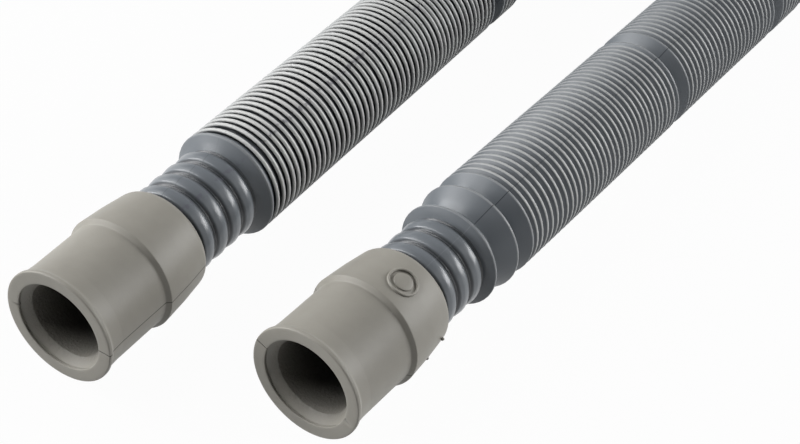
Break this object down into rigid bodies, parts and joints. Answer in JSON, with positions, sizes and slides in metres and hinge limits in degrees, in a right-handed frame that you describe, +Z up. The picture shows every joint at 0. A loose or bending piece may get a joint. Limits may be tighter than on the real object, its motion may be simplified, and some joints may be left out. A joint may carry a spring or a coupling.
{
  "type": "washing machine drain hose",
  "caption": "Extendable corrugated drain hose with a soft push-on cuff at each end, laid on the floor in one loop with both mouths side by side.",
  "frame": {"origin": "on the floor, under the centre of the whole hose's box as it lies", "axes": "+Z up, -Y is the way both mouths face, +X towards the right-hand leg"},
  "size_m": [0.2727, 0.5616, 0.0327],
  "materials": {
    "bellows_plastic": "blue-grey blow-moulded polypropylene with a satin sheen",
    "cuff_rubber": "warm grey soft moulded rubber, matte and fine grained"
  },
  "bodies": {
    "root": {"hose": "bellows_plastic", "right_cuff": "cuff_rubber", "left_cuff": "cuff_rubber"}
  },
  "joints": []
}
